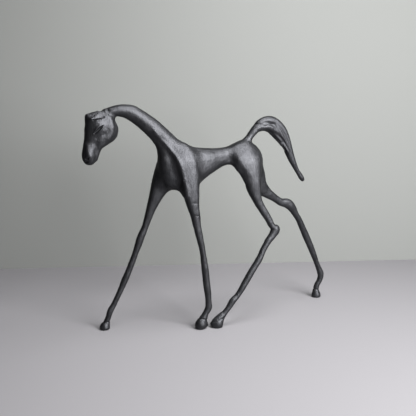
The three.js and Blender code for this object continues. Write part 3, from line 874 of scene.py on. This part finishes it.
def satin_black(settings):
    """Black patinated metal: broad soft highlights over a fine cast grain and the marks of filing."""
    material = bpy.data.materials.new("satin_black_metal")
    material.use_nodes = True
    material.node_tree.nodes.clear()
    nodes = Nodes(material.node_tree)
    place = nodes.add("ShaderNodeTexCoord")("Object")
    clouds = nodes.noise(place, CLOUDS_PER_METRE, detail=3.0, roughness=0.6)
    grain = nodes.noise(place, 1 / settings.grain_size, detail=4.0, roughness=0.65)
    mapped = nodes.add("ShaderNodeMapping", None, {"Vector": place, "Scale": MARK_SCALE})()
    marks = nodes.noise(mapped, MARKS_TO_A_GRAIN / settings.grain_size, detail=3.0)
    worn = (clouds + marks - 1.0) * WEAR_CONTRAST + 0.5
    sockets = {MIX_FACTOR: worn, MIX_A: (*settings.black, 1.0), MIX_B: (*settings.bloom, 1.0)}
    colour = nodes.add("ShaderNodeMix", {"data_type": "RGBA"}, sockets)
    duller = (clouds - 0.5) * CLOUD_DULLNESS
    roughness = settings.roughness + duller + (grain - 0.5) * GRAIN_DULLNESS
    height = grain * GRAIN_HEIGHT + marks * clouds * MARK_HEIGHT
    sockets = {"Strength": 1.0, "Distance": settings.grain_depth, "Height": height}
    bump = nodes.add("ShaderNodeBump", None, sockets)
    surface = nodes.add("ShaderNodeBsdfPrincipled", None, {
        "Base Color": colour(MIX_COLOUR),
        "Metallic": settings.metallic,
        "Specular Tint": SPECULAR_TINT,
        "Roughness": roughness,
        "Normal": bump(),
    })
    nodes.add("ShaderNodeOutputMaterial", None, {"Surface": surface()})
    return material


class HorseFigure(bpy.types.PropertyGroup):
    """Sizes of the casting that a sculptor would change."""

    skin_step: FloatProperty(
        name="Skin Step", description="Grid step that the skin is drawn on",
        default=0.8 * UNIT, min=0.0005, max=0.004, precision=5, unit="LENGTH")
    leg_fillet: FloatProperty(
        name="Leg Fillet", description="Reach of the fillets where the legs grow out of the trunk",
        default=18 * UNIT, precision=5, unit="LENGTH")
    trunk_melt: FloatProperty(
        name="Trunk Melt", description="How far the creases of the trunk are melted into each other",
        default=3.2 * UNIT, precision=5, unit="LENGTH")
    hip_melt: FloatProperty(
        name="Hip Melt", description="How far the hips are melted into the rump besides",
        default=5 * UNIT, precision=5, unit="LENGTH")
    throat_fillet: FloatProperty(
        name="Throat Fillet", description="Reach of the fillet between the head and the neck",
        default=7 * UNIT, precision=5, unit="LENGTH")
    tail_fillet: FloatProperty(
        name="Tail Fillet", description="Reach of the fillet at the root of the tail",
        default=6 * UNIT, precision=5, unit="LENGTH")
    small_fillet: FloatProperty(
        name="Small Fillet", description="Reach of the fillets at the ears and the eyelids",
        default=1.5 * UNIT, precision=5, unit="LENGTH")
    small_rounding: FloatProperty(
        name="Small Rounding", description="Reach of the rounding on the lips, slits and soles",
        default=1.4 * UNIT, precision=5, unit="LENGTH")
    lock_depth: FloatProperty(
        name="Lock Depth", description="Depth of the grooves between the locks of the tail",
        default=2.8 * UNIT, precision=5, unit="LENGTH")
    lid_thickness: FloatProperty(
        name="Lid Thickness", description="Thickness of the eyelids",
        default=3.4 * UNIT, precision=5, unit="LENGTH")
    lump_size: FloatProperty(
        name="Lump Size", description="Distance between the broad swellings of the surface",
        default=14 * UNIT, precision=5, unit="LENGTH")
    lump_height: FloatProperty(
        name="Lump Height", description="Height of the broad swellings",
        default=0.45 * UNIT, precision=5, unit="LENGTH")
    dent_size: FloatProperty(
        name="Dent Size", description="Distance between the small dents left by the tools",
        default=4.5 * UNIT, precision=5, unit="LENGTH")
    dent_height: FloatProperty(
        name="Dent Height", description="Depth of the small dents",
        default=0.36 * UNIT, precision=5, unit="LENGTH")
    sole_height: FloatProperty(
        name="Sole Height", description="Height over which the unevenness fades in above the flat soles",
        default=5 * UNIT, precision=5, unit="LENGTH")
    triangles: IntProperty(
        name="Triangles", description="Triangles in the finished skin",
        default=190000, min=20000, max=199000)

    def figure_mm(self, name):
        """A length of these settings in drawn millimetres."""
        return getattr(self, name) / UNIT


class HorseFinish(bpy.types.PropertyGroup):
    """Colours and gloss of the satin black finish."""

    black: FloatVectorProperty(
        name="Black", description="Colour of the finish where it is deepest",
        subtype="COLOR", size=3, min=0.0, max=1.0, default=(0.022, 0.0225, 0.0246))
    bloom: FloatVectorProperty(
        name="Bloom", description="Colour of the finish where it is handled and a little paler",
        subtype="COLOR", size=3, min=0.0, max=1.0, default=(0.049, 0.0496, 0.0538))
    roughness: FloatProperty(
        name="Roughness", description="Roughness of the satin surface", subtype="FACTOR",
        default=0.45, min=0.0, max=1.0)
    metallic: FloatProperty(
        name="Metallic", description="How metallic the finish looks", subtype="FACTOR",
        default=0.9, min=0.0, max=1.0)
    grain_size: FloatProperty(
        name="Grain Size", description="Distance between the grains of the cast surface",
        default=1.7 * UNIT, precision=5, unit="LENGTH")
    grain_depth: FloatProperty(
        name="Grain Depth", description="Depth of the grain and of the filing marks",
        default=0.6 * UNIT, precision=5, unit="LENGTH")


class StudioSettings(bpy.types.PropertyGroup):
    """The plain studio and its light."""

    wall: FloatVectorProperty(
        name="Wall", description="Colour of the wall", subtype="COLOR", size=3, min=0.0, max=1.0,
        default=(0.150, 0.154, 0.148))
    floor: FloatVectorProperty(
        name="Floor", description="Colour of the floor", subtype="COLOR", size=3, min=0.0, max=1.0,
        default=(0.155, 0.151, 0.159))
    key: FloatProperty(
        name="Key Light", description="Power of the big soft light at the right",
        default=72.0, unit="POWER")
    top: FloatProperty(
        name="Top Light", description="Power of the soft light overhead",
        default=5.0, unit="POWER")
    air: FloatProperty(
        name="Air", description="Brightness of the light from all round",
        default=0.04, min=0.0)


class HORSE_OT_cast(bpy.types.Operator):
    """Models the casting and gives it its satin black finish"""

    bl_idname = "horse.cast"
    bl_label = "Cast the Horse"

    def execute(self, context):
        settings = context.scene.horse_figure
        points, quads = cast(settings)
        if len(quads) == 0:
            raise RuntimeError("the skin of the horse came out empty")
        mesh = mesh_of("horse_casting", points, quads)
        normals = vectors_of(mesh.vertex_normals, "vector")
        points = points + normals * relief(points)[:, None]
        placed = (points - figure_middle()) * UNIT
        mesh.vertices.foreach_set("co", placed.astype(np.float32).ravel())
        mesh.update()
        piece = bpy.data.objects.new("horse_casting", mesh)
        context.collection.objects.link(piece)
        thin = piece.modifiers.new("Thin", "DECIMATE")
        thin.ratio = min(1.0, settings.triangles / (2 * len(quads)))
        evaluated(piece)
        self.add_cast_skin(piece, settings, satin_black(context.scene.horse_finish))
        mesh = evaluated(piece)
        mesh.name = "horse_casting"
        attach(piece, "root")
        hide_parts("horse")
        return {"FINISHED"}

    @staticmethod
    def add_cast_skin(piece, settings, finish):
        """Puts the cast skin's tree on the piece, with its inputs set by their identifiers."""
        tree = cast_skin_tree()
        modifier = piece.modifiers.new("Cast Skin", "NODES")
        modifier.node_group = tree
        given = {
            "Lump Size": settings.lump_size,
            "Lump Height": settings.lump_height,
            "Dent Size": settings.dent_size,
            "Dent Height": settings.dent_height,
            "Sole Height": settings.sole_height,
            "Finish": finish,
        }
        for item in tree.interface.items_tree:
            if item.in_out == "INPUT" and item.name in given:
                modifier[item.identifier] = given[item.name]


# The camera looks at this point of the figure, from this azimuth and elevation (degrees) and distance
AIM = (0.0, -30.0, 220.0)
AZIMUTH = -23.0
ELEVATION = 11.0
DISTANCE = 1050.0
SENSOR = 36.0
IMAGE_SIDE = 416
FOCAL_PIXELS = 600.0
NEAREST, FARTHEST = 0.01, 100.0

# The wall stands this far behind that point, and is turned this much (degrees) from square to the view
WALL_BEHIND = 400.0
WALL_TURN = 4.7
ROOM = 6.0                    # metres across
FLOOR_ROUGHNESS = 0.7
WALL_ROUGHNESS = 0.9

# The lights, in metres of the frame and radians
KEY = {"place": (0.42, -1.04, 0.79), "aim": (-0.12, 0, 0.22), "size": (0.9, 1.1)}
TOP = {"place": (0.1, -0.25, 1.35), "aim": (-0.05, 0, 0.2), "size": (0.7, 0.5), "spread": 1.5}
AIR_COLOUR = (0.9, 0.93, 1.0, 1.0)


def framed(point):
    """A drawn point in the frame, in metres."""
    return Vector((np.array(point) - figure_middle()) * UNIT)


def plain_material(name, colour, roughness):
    """A plain matt material for the studio."""
    material = bpy.data.materials.new(name)
    material.use_nodes = True
    surface = material.node_tree.nodes["Principled BSDF"]
    surface.inputs["Base Color"].default_value = (*colour, 1.0)
    surface.inputs["Roughness"].default_value = roughness
    return material


def plane(name, corners, material):
    """A flat piece of the studio, which is no part of the horse."""
    mesh = bpy.data.meshes.new(name)
    mesh.from_pydata([tuple(corner) for corner in corners], [], [(0, 1, 2, 3)])
    mesh.materials.append(material)
    made = bpy.data.objects.new(name, mesh)
    bpy.context.collection.objects.link(made)
    return made


def soft_light(name, place, aim, size, power, spread=math.pi):
    """A rectangular light that faces a point."""
    light = bpy.data.lights.new(name, "AREA")
    light.shape = "RECTANGLE"
    light.size, light.size_y = size
    light.energy = power
    light.spread = spread
    made = bpy.data.objects.new(name, light)
    made.location = place
    made.rotation_mode = "QUATERNION"
    made.rotation_quaternion = (Vector(aim) - Vector(place)).to_track_quat("-Z", "Y")
    bpy.context.collection.objects.link(made)
    return made


class HORSE_OT_stage(bpy.types.Operator):
    """Sets up the pale floor and wall, the soft light and the camera"""

    bl_idname = "horse.stage"
    bl_label = "Set the Stage"

    def execute(self, context):
        settings = context.scene.horse_studio
        self.add_camera(context)
        self.add_room(settings)
        self.add_lights(context, settings)
        return {"FINISHED"}

    @staticmethod
    def view_back():
        """The direction from the figure back to the camera."""
        turn, rise = math.radians(AZIMUTH), math.radians(ELEVATION)
        level = math.cos(rise)
        return Vector((math.sin(turn) * level, -math.cos(turn) * level, math.sin(rise)))

    def add_camera(self, context):
        camera = bpy.data.cameras.new("Camera")
        camera.sensor_width = SENSOR
        camera.lens = SENSOR * FOCAL_PIXELS / IMAGE_SIDE
        camera.clip_start = NEAREST
        camera.clip_end = FARTHEST
        made = bpy.data.objects.new("Camera", camera)
        back = self.view_back()
        made.location = framed(AIM) + back * DISTANCE * UNIT
        made.rotation_mode = "QUATERNION"
        made.rotation_quaternion = (-back).to_track_quat("-Z", "Y")
        context.collection.objects.link(made)
        context.scene.camera = made

    def add_room(self, settings):
        floor = plain_material("studio_floor", settings.floor, FLOOR_ROUGHNESS)
        wall = plain_material("studio_wall", settings.wall, WALL_ROUGHNESS)
        half = ROOM / 2
        corners = [(-half, -half, 0), (half, -half, 0), (half, half, 0), (-half, half, 0)]
        plane("studio_floor", corners, floor)
        turn = math.radians(AZIMUTH + WALL_TURN)
        away = Vector((-math.sin(turn), math.cos(turn), 0))
        along = Vector((math.cos(turn), math.sin(turn), 0))
        foot = framed((AIM[0], AIM[1], 0)) + away * WALL_BEHIND * UNIT
        left, right = foot - along * half, foot + along * half
        up = Vector((0, 0, half))
        plane("studio_wall", [left, right, right + up, left + up], wall)

    def add_lights(self, context, settings):
        soft_light("key", power=settings.key, **KEY)
        soft_light("top", power=settings.top, **TOP)
        world = context.scene.world or bpy.data.worlds.new("World")
        context.scene.world = world
        world.use_nodes = True
        air = world.node_tree.nodes["Background"]
        air.inputs["Color"].default_value = AIR_COLOUR
        air.inputs["Strength"].default_value = settings.air
        context.scene.view_settings.view_transform = "Standard"


GROUPS = {"horse_figure": HorseFigure, "horse_finish": HorseFinish, "horse_studio": StudioSettings}
BUTTON_UNDER = {"horse_finish": "horse.cast", "horse_studio": "horse.stage"}


class HORSE_PT_panel(bpy.types.Panel):
    """The horse's sizes, its finish and the studio"""

    bl_idname = "HORSE_PT_panel"
    bl_label = "Cast Horse"
    bl_space_type = "VIEW_3D"
    bl_region_type = "UI"
    bl_category = "Horse"

    def draw(self, context):
        for group, settings_class in GROUPS.items():
            box = self.layout.box()
            for name in settings_class.__annotations__:
                box.prop(getattr(context.scene, group), name)
            if group in BUTTON_UNDER:
                box.operator(BUTTON_UNDER[group])


CLASSES = (*GROUPS.values(), HORSE_OT_cast, HORSE_OT_stage, HORSE_PT_panel)


def register():
    for made in CLASSES:
        bpy.utils.register_class(made)
    for name, group in GROUPS.items():
        setattr(bpy.types.Scene, name, PointerProperty(type=group))


def unregister():
    for name in GROUPS:
        delattr(bpy.types.Scene, name)
    for made in reversed(CLASSES):
        bpy.utils.unregister_class(made)


def main():
    register()
    bpy.ops.horse.cast()
    bpy.ops.horse.stage()


if __name__ == "__main__":
    main()
